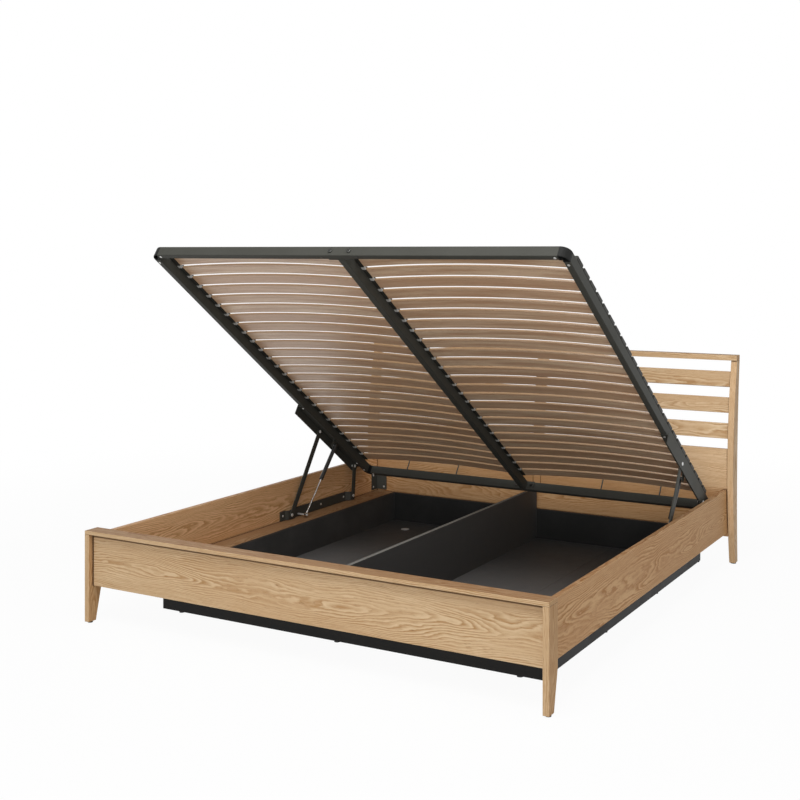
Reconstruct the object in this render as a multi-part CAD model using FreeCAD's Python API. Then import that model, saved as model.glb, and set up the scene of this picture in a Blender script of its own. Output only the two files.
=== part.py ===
import FreeCAD, Part
import math
import os

os.makedirs("parts", exist_ok=True)
V = FreeCAD.Vector

# Mattress the bed is made for
mattress_width = 1800
mattress_length = 2000
mattress_side_gap = 8
mattress_end_gap = 4.5

# Foot end: panel between two legs under a cap board
bed_height = 350
cap_thickness = 14
cap_depth = 68
leg_thickness = 22
leg_toe_depth = 38
leg_taper_height = 135
foot_panel_setback = 21
foot_panel_bottom = 140
panel_thickness = 18
glide_height = 5

# Side rails
rail_thickness = 20
rail_bottom = 142

# Head end: curved posts, a low panel, open boards and a top rail
post_gap = 3
post_thickness = 27
head_height = 937
top_rail_thickness = 24
top_rail_front_lip = 8
post_belly_height = 383
post_toe_back = 34
post_top_back = 69
post_toe_depth = 41
post_belly_depth = 69
post_top_depth = 44
infill_setback = 12
head_panel_bottom = 126
board_height = 70
board_gap = 46
stile_width = 56
stile_thickness = 10
stile_bottom = 330

# Corner brackets at the four inside corners
bracket_flange = 57
bracket_thickness = 3
bracket_bottom = 165
bracket_height = 88
bracket_screw_inset = 14

# Storage box on the floor and the ledges round it
side_ledge_width = 101
foot_ledge_width = 242
box_back_gap = 3
box_foot_height = 5
box_foot_radius = 11
box_wall = 16
box_top = 156
box_floor_thickness = 12
box_seam = 0.6
divider_top = 259
box_foot_inset = 12
box_front_foot_inset = 86
floor_cap_inset = 173
floor_cap_from_head = 183
floor_cap_radius = 21
floor_cap_height = 1.6

# Lift platform in its raised, photographed place
open_angle = 34.57
head_edge_back = 141
head_edge_rise = 3.9
platform_side_clear = 21
platform_head_clear = 8
platform_foot_clear = 8.4
platform_rest_gap = 1.5
tube_height = 40
tube_width = 25
tube_wall = 1.5
tube_round = 3
corner_size = 36
corner_radius = 34
corner_wall = 3
corner_plug = 34
beam_width = 30
beam_plate_width = 104
beam_plate_thickness = 4
slat_rows = 25
slat_head_inset = 119.5
slat_foot_inset = 109.1
slat_gap = 18.5
slat_thickness = 8
slat_bow = 17
slat_seat = 3
slat_end_inset = 13
slat_beam_end = 9
holder_length = 39
holder_beam_reach = 27
holder_rim = 1.5
holder_height = 17
holder_edge = 2.5
clip_height = 9
clip_side_length = 20
clip_beam_length = 16
bow_place_share = 0.582
bow_width = 278
bow_from_head = 12.5
bow_height = 105
bow_bend = 22
bow_wire = 3

# Lift fittings, one set on each side
sheet = 4
angle_sheet = 3
lower_plate_lift = 2
lower_plate_height = 42
lower_plate_from_head = 872
lower_plate_tab = 36
lower_plate_ramp = 14
lower_plate_bridge = 48
lower_plate_run = 558
lower_plate_tail = 36
angle_drop = 40
angle_lip = 6
angle_side_clear = 0.75
angle_head_end = 95
angle_foot_end = 735
angle_window_clear = 2
arm_thickness = 4
arm_half_width = 14
arm_gap = 0.5
arm_boss = 0.9
front_arm_clear = 1.5
rear_arm_inset = 5.5
pin_radius = 5
pin_head_radius = 7.5
pin_head = 3
front_pivot_from_head = 802
front_pivot_rise = 19
front_pin_s = 505
front_pin_n = -17
rear_pivot_rise = 21
rear_pin_s = 141
rear_pin_n = -21
gas_inset = 29
gas_foot_from_head = 732
gas_foot_rise = 10.5
gas_top_s = 388
gas_top_n = -30
gas_rod_radius = 4
gas_tube_radius = 9.5
gas_eye_radius = 8
gas_eye_width = 12
gas_eye_neck = 14
gas_tube_length = 178
gas_rod_overlap = 90
gas_bore_clear = 0.5
gas_tab_half = 12
gas_tab_clear = 1
stud_radius = 4
stud_head_radius = 6

# Fasteners and fits
screw_radius = 5
screw_head = 2
rivet_radius = 5
rivet_head = 2
bolt_radius = 9
bolt_head = 5
corner_rivet_across = 47
corner_rivet_along = 54
beam_bolt_reach = 40
foot_bar_bolt_reach = 77
plate_screw_inset = 20
running_fit = 0.05
plug_fit = 0.2
slat_fit = 0.25
wood_edge = 1.5
overrun = 10

# Places that follow from the sizes above
rail_inner = mattress_width / 2 + mattress_side_gap
rail_outer = rail_inner + rail_thickness
foot_half_width = rail_outer + leg_thickness
cap_underside = bed_height - cap_thickness
foot_panel_back = foot_panel_setback + panel_thickness
head_panel_front = cap_depth + mattress_length + 2 * mattress_end_gap
post_belly_front = head_panel_front - infill_setback
post_inner = rail_outer + post_gap
post_outer = post_inner + post_thickness
post_top = head_height - top_rail_thickness
bed_length = post_belly_front + post_top_back + post_top_depth
box_half_width = rail_inner - side_ledge_width
box_inside = box_half_width - box_wall
box_front = foot_panel_back + foot_ledge_width
box_back = head_panel_front - box_back_gap
platform_half_width = rail_inner - platform_side_clear
open_edge_y = head_panel_front - head_edge_back
open_edge_z = divider_top + head_edge_rise
closed_edge_y = head_panel_front - platform_head_clear
closed_edge_z = divider_top + platform_rest_gap
platform_length = closed_edge_y - cap_depth - platform_foot_clear
slat_pitch = (platform_length - slat_head_inset - slat_foot_inset) / (slat_rows - 1)
slat_width = slat_pitch - slat_gap
holder_width = slat_width + 2 * holder_rim
tube_inner = platform_half_width - tube_width
holder_inner = platform_half_width - holder_length
front_arm_inner = platform_half_width + front_arm_clear
front_arm_outer = front_arm_inner + arm_thickness
upright_inner = front_arm_outer + angle_side_clear
upright_outer = upright_inner + angle_sheet
front_bridge_face = front_arm_outer + arm_gap
front_bridge_depth = rail_inner - sheet - front_bridge_face
rear_arm_outer = platform_half_width - rear_arm_inset
rear_arm_inner = rear_arm_outer - arm_thickness
rear_bridge_face = rear_arm_outer + arm_gap
rear_bridge_depth = rail_inner - sheet - rear_bridge_face
lower_plate_front = head_panel_front - lower_plate_from_head
lower_plate_bottom = box_top + lower_plate_lift
lower_plate_top = lower_plate_bottom + lower_plate_height
lower_plate_middle = lower_plate_bottom + lower_plate_height / 2
front_pivot_y = head_panel_front - front_pivot_from_head
front_pivot_z = lower_plate_bottom + front_pivot_rise
rear_pivot_z = lower_plate_bottom + rear_pivot_rise
gas_axis = platform_half_width - gas_inset
gas_foot_y = head_panel_front - gas_foot_from_head
gas_foot_z = lower_plate_bottom + gas_foot_rise
gas_tab_inner = gas_axis + gas_tube_radius + gas_tab_clear
gas_tab_outer = gas_tab_inner + sheet


def platform_place(s, n, angle, edge_y, edge_z):
    turn = math.radians(angle)
    y = edge_y - s * math.cos(turn) + n * math.sin(turn)
    z = edge_z + s * math.sin(turn) + n * math.cos(turn)
    return y, z


def raised(s, n):
    return platform_place(s, n, open_angle, open_edge_y, open_edge_z)


def lowered(s, n):
    return platform_place(s, n, 0, closed_edge_y, closed_edge_z)


# The short arm's fixed pivot is equally far from the raised and the lowered place of its top pin
rear_up = raised(rear_pin_s, rear_pin_n)
rear_down = lowered(rear_pin_s, rear_pin_n)
rear_middle_y = (rear_up[0] + rear_down[0]) / 2
rear_middle_z = (rear_up[1] + rear_down[1]) / 2
rear_slope = (rear_down[1] - rear_up[1]) / (rear_down[0] - rear_up[0])
rear_pivot_y = rear_middle_y - (rear_pivot_z - rear_middle_z) * rear_slope

# The long arm's top end lies nearer the head edge when the platform lies flat
front_up = raised(front_pin_s, front_pin_n)
front_arm_length = math.hypot(front_up[0] - front_pivot_y, front_up[1] - front_pivot_z)
front_drop = closed_edge_z + front_pin_n - front_pivot_z
front_down_y = front_pivot_y + math.sqrt(front_arm_length ** 2 - front_drop ** 2)
front_pin_down_s = closed_edge_y - front_down_y
gas_top = raised(gas_top_s, gas_top_n)


def save(node, shapes):
    group = [shape.copy() for shape in shapes]
    for shape in group:
        shape.translate(V(0, -bed_length / 2, 0))
    result = group[0] if len(group) == 1 else Part.makeCompound(group)
    result.exportStep("parts/" + node + ".step")


def block(x_from, x_to, y_from, y_to, z_from, z_to, edge=0):
    size = (abs(x_to - x_from), y_to - y_from, z_to - z_from)
    shape = Part.makeBox(*size, V(min(x_from, x_to), y_from, z_from))
    if edge:
        shape = shape.makeFillet(edge, shape.Edges)
    return shape


def rod_x(side, near, far, y, z, radius):
    start = min(side * near, side * far)
    return Part.makeCylinder(radius, abs(far - near), V(start, y, z), V(1, 0, 0))


def button(radius, height, place, direction):
    # Low round head with a rolled rim, standing on the face it is pressed against
    head = Part.makeCylinder(radius, height, place, direction)
    rim = place + direction * height
    outer = [edge for edge in head.Edges if edge.Closed and (edge.CenterOfMass - rim).Length < height / 2]
    return head.makeFillet(height / 2, outer)


def sheet_x(side, near, far, wire):
    face = Part.Face(wire)
    face.translate(V(side * near, 0, 0))
    return face.extrude(V(side * (far - near), 0, 0))


def line(start, end):
    return Part.LineSegment(start, end).toShape()


def arc(start, middle, end):
    return Part.Arc(start, middle, end).toShape()


def band(first, second):
    # Outline between two curves, each given as start, middle and end, closed by straight ends
    return Part.Wire([
        arc(*first), line(first[2], second[2]), arc(*second[::-1]), line(second[0], first[0])])


def closed_wire(points):
    corners = [V(0, y, z) for y, z in points]
    return Part.makePolygon(corners + corners[:1])


def stadium(start, end, half_width):
    # Long round-ended outline from one pivot to the other, in the plane across the bed
    p = V(0, start[0], start[1])
    q = V(0, end[0], end[1])
    along = (q - p).normalize() * half_width
    across = V(0, -along.z, along.y)
    edges = [
        line(p + across, q + across),
        arc(q + across, q + along, q - across),
        line(q - across, p - across),
        arc(p - across, p - along, p + across),
    ]
    return Part.Wire(edges)


def bent_strip(points, thickness):
    # Sheet bent along a line seen from above: each corner is moved by its mitred thickness
    back = []
    last = len(points) - 1
    for i, (depth, y) in enumerate(points):
        before = points[max(i - 1, 0)]
        after = points[min(i + 1, last)]
        turn_in = math.atan2(depth - before[0], y - before[1]) if i else None
        turn_out = math.atan2(after[0] - depth, after[1] - y) if i < last else turn_in
        turn_in = turn_out if turn_in is None else turn_in
        middle = (turn_in + turn_out) / 2
        reach = thickness / math.cos((turn_out - turn_in) / 2)
        back.append((depth + reach * math.cos(middle), y - reach * math.sin(middle)))
    return points + back[::-1]


def on_platform(shape):
    shape.rotate(V(0, 0, 0), V(1, 0, 0), -open_angle)
    shape.translate(V(0, open_edge_y, open_edge_z))
    return shape


def platform_block(x_from, x_to, s_from, s_to, n_from, n_to, edge=0):
    return block(x_from, x_to, -s_to, -s_from, n_from, n_to, edge)


# Foot end
def foot_leg(side):
    outline = closed_wire([
        (0, glide_height),
        (leg_toe_depth, glide_height),
        (cap_depth, leg_taper_height),
        (cap_depth, cap_underside),
        (0, cap_underside),
    ])
    leg = sheet_x(side, rail_outer, foot_half_width, outline)
    return leg.makeFillet(wood_edge, leg.Edges)


def foot_end():
    save("foot_cap", [block(
        -foot_half_width, foot_half_width, 0, cap_depth, cap_underside, bed_height, wood_edge)])
    save("foot_panel", [block(
        -rail_outer, rail_outer, foot_panel_setback, foot_panel_back,
        foot_panel_bottom, cap_underside, wood_edge)])
    save("foot_leg_left", [foot_leg(-1)])
    save("foot_leg_right", [foot_leg(1)])


# Head end
def post_line(toe, belly, top):
    return [V(0, toe, glide_height), V(0, belly, post_belly_height), V(0, top, post_top)]


front_line = post_line(post_belly_front + post_toe_back, post_belly_front, post_belly_front + post_top_back)
rear_line = post_line(
    front_line[0].y + post_toe_depth, front_line[1].y + post_belly_depth, front_line[2].y + post_top_depth)
front_curve = arc(*front_line).Curve
curve_centre = front_curve.Center
curve_radius = front_curve.Radius


def curve_angle(z):
    # Lean of the front curve at a height, measured from upright
    return math.asin((z - curve_centre.z) / curve_radius)


def curve_point(z, setback):
    # Point behind the front curve, on the line to its centre
    lean = curve_angle(z)
    reach = curve_radius - setback
    return V(0, curve_centre.y - reach * math.cos(lean), curve_centre.z + reach * math.sin(lean))


def head_post(side):
    post = sheet_x(side, post_inner, post_outer, band(front_line, rear_line))
    return post.makeFillet(wood_edge, post.Edges)


def head_board(top):
    # Flat board whose front face lies along the posts' curve
    half = board_height / 2
    middle = top - half
    board = block(-post_inner, post_inner, 0, panel_thickness, -half, half, wood_edge)
    board.rotate(V(0, 0, 0), V(1, 0, 0), -math.degrees(curve_angle(middle)))
    board.translate(curve_point(middle, infill_setback))
    return board


def head_stile():
    # Upright behind the boards, along the same curve and cut off under the top rail
    tip = post_top + overrun
    heights = (stile_bottom, (stile_bottom + tip) / 2, tip)
    front_set = infill_setback + panel_thickness
    front = [curve_point(z, front_set) for z in heights]
    back = [curve_point(z, front_set + stile_thickness) for z in heights]
    stile = sheet_x(1, -stile_width / 2, stile_width / 2, band(front, back))
    above = block(-stile_width, stile_width, head_panel_front, bed_length + overrun, post_top, head_height)
    return stile.cut(above)


def head_end():
    save("head_post_left", [head_post(-1)])
    save("head_post_right", [head_post(1)])
    rail_front = front_line[2].y - top_rail_front_lip
    save("head_top_rail", [block(
        -post_outer, post_outer, rail_front, bed_length, post_top, head_height, wood_edge)])
    board_top = post_top - board_gap
    for name in ("upper", "middle", "lower"):
        save("head_board_" + name, [head_board(board_top)])
        board_top = board_top - board_height - board_gap
    save("head_panel", [block(
        -post_inner, post_inner, head_panel_front, head_panel_front + panel_thickness,
        head_panel_bottom, board_top, wood_edge)])
    save("head_stile", [head_stile()])


def rails_and_glides():
    for side, word in ((-1, "left"), (1, "right")):
        save("side_rail_" + word, [block(
            side * rail_inner, side * rail_outer, foot_panel_back, head_panel_front,
            rail_bottom, cap_underside, wood_edge)])
    glides = []
    toe_middle = (front_line[0].y + rear_line[0].y) / 2
    for side in (-1, 1):
        foot_x = side * (rail_outer + leg_thickness / 2)
        head_x = side * (post_inner + post_thickness / 2)
        foot_radius = leg_thickness / 2 - wood_edge
        head_radius = post_thickness / 2 - wood_edge
        glides.append(Part.makeCylinder(foot_radius, glide_height, V(foot_x, leg_toe_depth / 2, 0)))
        glides.append(Part.makeCylinder(head_radius, glide_height, V(head_x, toe_middle, 0)))
    save("leg_glides", glides)


def corner_brackets():
    brackets = []
    screws = []
    top = bracket_bottom + bracket_height
    for side in (-1, 1):
        for wall, inward in ((foot_panel_back, 1), (head_panel_front, -1)):
            along = sorted((wall, wall + inward * bracket_flange))
            across = sorted((wall, wall + inward * bracket_thickness))
            inner = rail_inner - bracket_thickness
            on_rail = block(side * inner, side * rail_inner, *along, bracket_bottom, top)
            far = rail_inner - bracket_flange
            on_panel = block(side * far, side * rail_inner, *across, bracket_bottom, top)
            brackets.append(on_rail.fuse(on_panel).removeSplitter())
            for height in (bracket_bottom + bracket_screw_inset, top - bracket_screw_inset):
                rail_place = V(side * inner, wall + inward * (bracket_flange - bracket_screw_inset), height)
                screws.append(button(screw_radius, screw_head, rail_place, V(-side, 0, 0)))
                panel_face = wall + inward * bracket_thickness
                panel_place = V(side * (far + bracket_screw_inset), panel_face, height)
                screws.append(button(screw_radius, screw_head, panel_place, V(0, inward, 0)))
    save("corner_brackets", brackets)
    save("bracket_screws", screws)


# Storage box
def storage_box():
    low = box_foot_height
    inside = box_inside
    floor_front = box_front + box_wall
    floor_back = box_back - box_wall
    save("box_side_left", [block(-box_half_width, -inside, box_front, box_back, low, box_top)])
    save("box_side_right", [block(inside, box_half_width, box_front, box_back, low, box_top)])
    save("box_front", [block(-inside, inside, box_front, floor_front, low, box_top)])
    save("box_back", [block(-inside, inside, floor_back, box_back, low, box_top)])
    floor_top = low + box_floor_thickness
    half_wall = box_wall / 2
    save("box_divider", [block(-half_wall, half_wall, floor_front, floor_back, floor_top, divider_top)])
    half_seam = box_seam / 2
    for side, word in ((-1, "left"), (1, "right")):
        inner_panel = (side * half_seam, side * (inside / 2 - half_seam))
        outer_panel = (side * (inside / 2 + half_seam), side * inside)
        save("box_floor_inner_" + word, [block(*inner_panel, floor_front, floor_back, low, floor_top)])
        save("box_floor_outer_" + word, [block(*outer_panel, floor_front, floor_back, low, floor_top)])
    cap_place = V(floor_cap_inset - box_half_width, head_panel_front - floor_cap_from_head, floor_top)
    save("floor_cap", [button(floor_cap_radius, floor_cap_height, cap_place, V(0, 0, 1))])
    feet = []
    rows = 4
    first = box_front + box_foot_inset
    step = (box_back - box_front - 2 * box_foot_inset) / (rows - 1)
    for row in range(rows):
        foot_x = box_half_width - (box_foot_inset if row else box_front_foot_inset)
        for column in (-1, 0, 1):
            feet.append(Part.makeCylinder(box_foot_radius, low, V(column * foot_x, first + row * step, 0)))
    save("box_feet", feet)


def ledges():
    under = box_top - box_wall
    for side, word in ((-1, "left"), (1, "right")):
        save("ledge_" + word, [block(
            side * box_half_width, side * rail_inner, foot_panel_back, head_panel_front, under, box_top)])
    save("ledge_foot", [block(-box_half_width, box_half_width, foot_panel_back, box_front, under, box_top)])


# Fixed side of the lift fittings
def lower_plate(side):
    y = lower_plate_front
    bends = [(0, y)]
    flat_run = lower_plate_run - 2 * lower_plate_ramp - lower_plate_tab - lower_plate_bridge
    for depth, run in (
            (0, lower_plate_tab),
            (front_bridge_depth, lower_plate_ramp),
            (front_bridge_depth, lower_plate_bridge),
            (0, lower_plate_ramp),
            (0, flat_run),
            (rear_bridge_depth, lower_plate_ramp),
            (rear_bridge_depth, lower_plate_tail)):
        y = y + run
        bends.append((depth, y))
    outline = bent_strip(bends, sheet)
    corners = [V(side * (rail_inner - depth), y, lower_plate_bottom) for depth, y in outline]
    plate = Part.Face(Part.makePolygon(corners + corners[:1]))
    plate = plate.extrude(V(0, 0, lower_plate_top - lower_plate_bottom))
    plate = plate.cut(rod_x(side, rear_arm_inner, rail_inner, rear_pivot_y, rear_pivot_z, pin_radius))
    return plate.cut(rod_x(side, front_arm_inner, rail_inner, front_pivot_y, front_pivot_z, pin_radius))


def pivot_pin(side, base, tip, y, z):
    # Turned pin with its round head on the inward end
    pin = rod_x(side, tip, base, y, z, pin_radius)
    head = button(pin_head_radius, pin_head, V(side * tip, y, z), V(-side, 0, 0))
    return pin.fuse(head)


def fixed_fittings():
    screws = []
    pins = []
    studs = []
    run_start = lower_plate_front + lower_plate_tab + 2 * lower_plate_ramp + lower_plate_bridge
    run_end = lower_plate_front + lower_plate_run
    for side, word in ((-1, "left"), (1, "right")):
        save("lower_plate_" + word, [lower_plate(side)])
        face = side * (rail_inner - sheet)
        middle = (run_start + run_end) / 2
        for y in (lower_plate_front + lower_plate_tab / 2, middle, run_end - plate_screw_inset):
            screws.append(button(screw_radius, screw_head, V(face, y, lower_plate_middle), V(-side, 0, 0)))
        rear_base = rear_bridge_face + sheet
        front_base = front_bridge_face + sheet
        pins.append(pivot_pin(side, rear_base, rear_arm_inner - arm_gap, rear_pivot_y, rear_pivot_z))
        pins.append(pivot_pin(side, front_base, front_arm_inner - arm_gap, front_pivot_y, front_pivot_z))
        stud_tip = gas_axis - gas_eye_width / 2 - arm_gap
        stud = rod_x(side, stud_tip, rail_inner - sheet, gas_foot_y, gas_foot_z, stud_radius)
        tip = V(side * stud_tip, gas_foot_y, gas_foot_z)
        head = button(stud_head_radius, pin_head, tip, V(-side, 0, 0))
        studs.append(stud.fuse(head))
    save("lower_plate_screws", screws)
    save("lower_pivot_pins", pins)
    save("lower_gas_studs", studs)


# Arms and gas springs
def arms():
    hole = pin_radius + running_fit
    for side, word in ((-1, "left"), (1, "right")):
        rear_pivot = (rear_pivot_y, rear_pivot_z)
        rear = sheet_x(side, rear_arm_inner, rear_arm_outer, stadium(rear_pivot, rear_up, arm_half_width))
        for place in (rear_pivot, rear_up):
            rear = rear.cut(rod_x(side, rear_arm_inner - overrun, rear_arm_outer + overrun, *place, hole))
        save("rear_arm_" + word, [rear])
        front_pivot = (front_pivot_y, front_pivot_z)
        outline = stadium(front_pivot, front_up, arm_half_width)
        front = sheet_x(side, front_arm_inner, front_arm_outer, outline)
        span = (front_arm_inner - overrun, front_arm_outer + overrun)
        front = front.cut(rod_x(side, *span, *front_pivot, hole))
        boss = rod_x(side, front_arm_inner - arm_boss, front_arm_inner, *front_up, pin_head_radius)
        save("front_arm_" + word, [front.fuse(boss)])


def gas_springs():
    foot = V(0, gas_foot_y, gas_foot_z)
    top = V(0, *gas_top)
    along = top - foot
    length = along.Length
    along.normalize()
    eye_near = gas_axis - gas_eye_width / 2
    eye_far = gas_axis + gas_eye_width / 2
    tube_start = length - gas_eye_neck - gas_tube_length
    rod_length = tube_start + gas_rod_overlap
    neck_radius = gas_eye_radius - pin_head / 2
    for side, word in ((-1, "left"), (1, "right")):
        centre = V(side * gas_axis, 0, 0)
        start = centre + foot
        rod = Part.makeCylinder(gas_rod_radius, rod_length, start, along)
        neck = Part.makeCylinder(neck_radius, gas_eye_neck + pin_head, start, along)
        eye = rod_x(side, eye_near, eye_far, gas_foot_y, gas_foot_z, gas_eye_radius)
        stud_hole = rod_x(
            side, eye_near - overrun, eye_far + overrun, gas_foot_y, gas_foot_z, stud_radius + running_fit)
        save("gas_rod_" + word, [rod.fuse([neck, eye]).cut(stud_hole)])
        tube = Part.makeCylinder(gas_tube_radius, gas_tube_length, start + along * tube_start, along)
        bore_radius = gas_rod_radius + gas_bore_clear
        bore_start = start + along * (tube_start - pin_head)
        bore = Part.makeCylinder(bore_radius, gas_tube_length, bore_start, along)
        cap = Part.makeCylinder(neck_radius, gas_eye_neck, centre + top, along * -1)
        top_eye = rod_x(side, eye_near, eye_far, *gas_top, gas_eye_radius)
        save("gas_cylinder_" + word, [tube.cut(bore).fuse([cap, top_eye])])


# Lift platform, drawn flat with its head edge at zero and then raised
def hollow_bar(x_from, x_to, s_from, s_to, along_x):
    bar = platform_block(x_from, x_to, s_from, s_to, 0, tube_height)
    bar = bar.makeFillet(tube_round, [edge for edge in bar.Edges if edge.Length > 2 * tube_height])
    w = tube_wall
    if along_x:
        return bar.cut(platform_block(
            x_from - overrun, x_to + overrun, s_from + w, s_to - w, w, tube_height - w))
    return bar.cut(platform_block(
        x_from + w, x_to - w, s_from - overrun, s_to + overrun, w, tube_height - w))


def corner_piece(side, at_head):
    # Moulded elbow, hollow underneath, with a plug into each tube
    s_edge = 0 if at_head else platform_length
    inward = 1 if at_head else -1

    def room(a_from, a_to, b_from, b_to, low, high):
        # Block measured inwards from the frame's side and from its end
        span = sorted((s_edge + inward * b_from, s_edge + inward * b_to))
        return platform_block(
            side * (platform_half_width - a_from), side * (platform_half_width - a_to), *span, low, high)

    def elbow(inset, low, high):
        far = corner_size - inset
        bend = tube_width - inset
        body = room(inset, corner_size, inset, corner_size, low, high)
        corner = V(side * (platform_half_width - inset), -s_edge - inward * inset, (low + high) / 2)
        outer = [edge for edge in body.Edges if (edge.CenterOfMass - corner).Length < tube_wall]
        body = body.makeFillet(corner_radius - inset, outer).common(room(inset, far, inset, far, low, high))
        return body.cut(room(bend, corner_size, bend, corner_size, low, high))

    def wall_depth(edge):
        # Distance from the nearer outer face of the frame
        place = edge.CenterOfMass
        return min(platform_half_width - abs(place.x), abs(place.y + s_edge))

    body = elbow(0, 0, tube_height)
    middle = tube_height / 2
    rim = [
        edge for edge in body.Edges
        if abs(edge.CenterOfMass.z - middle) > middle - tube_wall and wall_depth(edge) < tube_wall]
    body = body.makeFillet(tube_round, rim)
    body = body.cut(elbow(corner_wall, -overrun, tube_height - corner_wall))
    skin = tube_wall + plug_fit
    tip = corner_size + corner_plug
    side_plug = room(skin, tube_width - skin, corner_size, tip, skin, tube_height - skin)
    cross_plug = room(corner_size, tip, skin, tube_width - skin, skin, tube_height - skin)
    return body.fuse([side_plug, cross_plug])


def frame():
    bar_end = platform_half_width - corner_size
    side_from = corner_size
    side_to = platform_length - corner_size
    for side, word in ((-1, "left"), (1, "right")):
        across = sorted((side * tube_inner, side * platform_half_width))
        tube = hollow_bar(*across, side_from, side_to, False)
        save("frame_tube_" + word, [on_platform(tube)])
    save("frame_head_bar", [on_platform(hollow_bar(-bar_end, bar_end, 0, tube_width, True))])
    foot_bar = hollow_bar(-bar_end, bar_end, platform_length - tube_width, platform_length, True)
    save("frame_foot_bar", [on_platform(foot_bar)])
    half = beam_width / 2
    plate_half = beam_plate_width / 2
    head_face = tube_width
    foot_face = platform_length - tube_width
    beam = hollow_bar(-half, half, head_face, foot_face, False)
    head_span = (head_face, head_face + beam_plate_thickness)
    foot_span = (foot_face - beam_plate_thickness, foot_face)
    plates = [
        platform_block(-plate_half, plate_half, *span, 0, tube_height) for span in (head_span, foot_span)]
    save("frame_centre_beam", [on_platform(beam.fuse(plates).removeSplitter())])
    corners = [corner_piece(side, at_head) for side in (-1, 1) for at_head in (True, False)]
    save("frame_corners", [on_platform(piece) for piece in corners])


def upper_plate(side):
    # Angle under the tube; its upright stands off so that the long arm swings between the two
    span = (angle_head_end, angle_foot_end)
    upright = platform_block(side * upright_inner, side * upright_outer, *span, -angle_drop, angle_lip)
    flange = platform_block(side * tube_inner, side * upright_inner, *span, -angle_sheet, 0)
    arm_room = arm_half_width + angle_window_clear
    window = platform_block(
        side * platform_half_width, side * upright_inner,
        front_pin_down_s - arm_room, front_pin_s + arm_room, -angle_sheet, 0)
    tab = platform_block(
        side * gas_tab_inner, side * gas_tab_outer,
        gas_top_s - gas_tab_half, gas_top_s + gas_tab_half, gas_top_n, 0)
    tab_end = rod_x(side, gas_tab_inner, gas_tab_outer, -gas_top_s, gas_top_n, gas_tab_half)
    plate = upright.fuse([flange.cut(window), tab, tab_end]).removeSplitter()
    pin_hole = rod_x(side, upright_inner, upright_outer, -rear_pin_s, rear_pin_n, pin_radius)
    return on_platform(plate.cut(pin_hole))


def platform_fasteners():
    pins = []
    rivets = []
    down = V(0, 0, -1)
    for side, word in ((-1, "left"), (1, "right")):
        save("upper_plate_" + word, [upper_plate(side)])
        pins.append(pivot_pin(side, upright_outer, rear_arm_inner - arm_gap, -rear_pin_s, rear_pin_n))
        stud_end = gas_axis + gas_eye_width / 2 + arm_gap
        pins.append(rod_x(side, stud_end, gas_tab_inner, -gas_top_s, gas_top_n, stud_radius))
        for s, n in ((front_pin_s, front_pin_n), (rear_pin_s, rear_pin_n)):
            rivets.append(button(pin_head_radius, pin_head, V(side * upright_outer, -s, n), V(side, 0, 0)))
        screw_x = side * (tube_inner + tube_width / 2)
        for s in (angle_head_end + plate_screw_inset * 2, angle_foot_end - plate_screw_inset):
            rivets.append(button(screw_radius, screw_head, V(screw_x, -s, -angle_sheet), down))
        near = platform_half_width - corner_rivet_across
        edge = tube_width / 2
        for s, s_side in (
                (edge, corner_rivet_along), (platform_length - edge, platform_length - corner_rivet_along)):
            rivets.append(button(rivet_radius, rivet_head, V(side * near, -s, 0), down))
            rivets.append(button(rivet_radius, rivet_head, V(screw_x, -s_side, 0), down))
    save("platform_pins", [on_platform(pin) for pin in pins])
    save("platform_rivets", [on_platform(rivet) for rivet in rivets])
    bolts = []
    middle = tube_height / 2
    for side in (-1, 1):
        across = side * beam_bolt_reach
        head_side = tube_width + beam_plate_thickness
        bolts.append(button(bolt_radius, bolt_head, V(across, -head_side, middle), V(0, -1, 0)))
        bolts.append(button(bolt_radius, bolt_head, V(across, -platform_length, middle), V(0, -1, 0)))
        under = V(side * foot_bar_bolt_reach, tube_width / 2 - platform_length, 0)
        bolts.append(button(rivet_radius, rivet_head, under, down))
    save("beam_bolts", [on_platform(bolt) for bolt in bolts])


def slat(side, s, grow):
    # Sprung board bowed towards the mattress; grow adds the fit round it
    low = tube_height + slat_seat - grow
    high = low + slat_thickness + 2 * grow
    ends = (side * (slat_beam_end - grow), side * (platform_half_width - slat_end_inset + grow))
    middle = (ends[0] + ends[1]) / 2
    under = (V(ends[0], 0, low), V(middle, 0, low + slat_bow), V(ends[1], 0, low))
    upper = (V(ends[0], 0, high), V(middle, 0, high + slat_bow), V(ends[1], 0, high))
    width = slat_width + 2 * grow
    face = Part.Face(band(under, upper))
    face.translate(V(0, -s - width / 2, 0))
    return face.extrude(V(0, width, 0))


def repeat(shape, count):
    copies = []
    for row in range(count):
        copy = shape.copy()
        copy.translate(V(0, -row * slat_pitch, 0))
        copies.append(on_platform(copy))
    return copies


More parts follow.
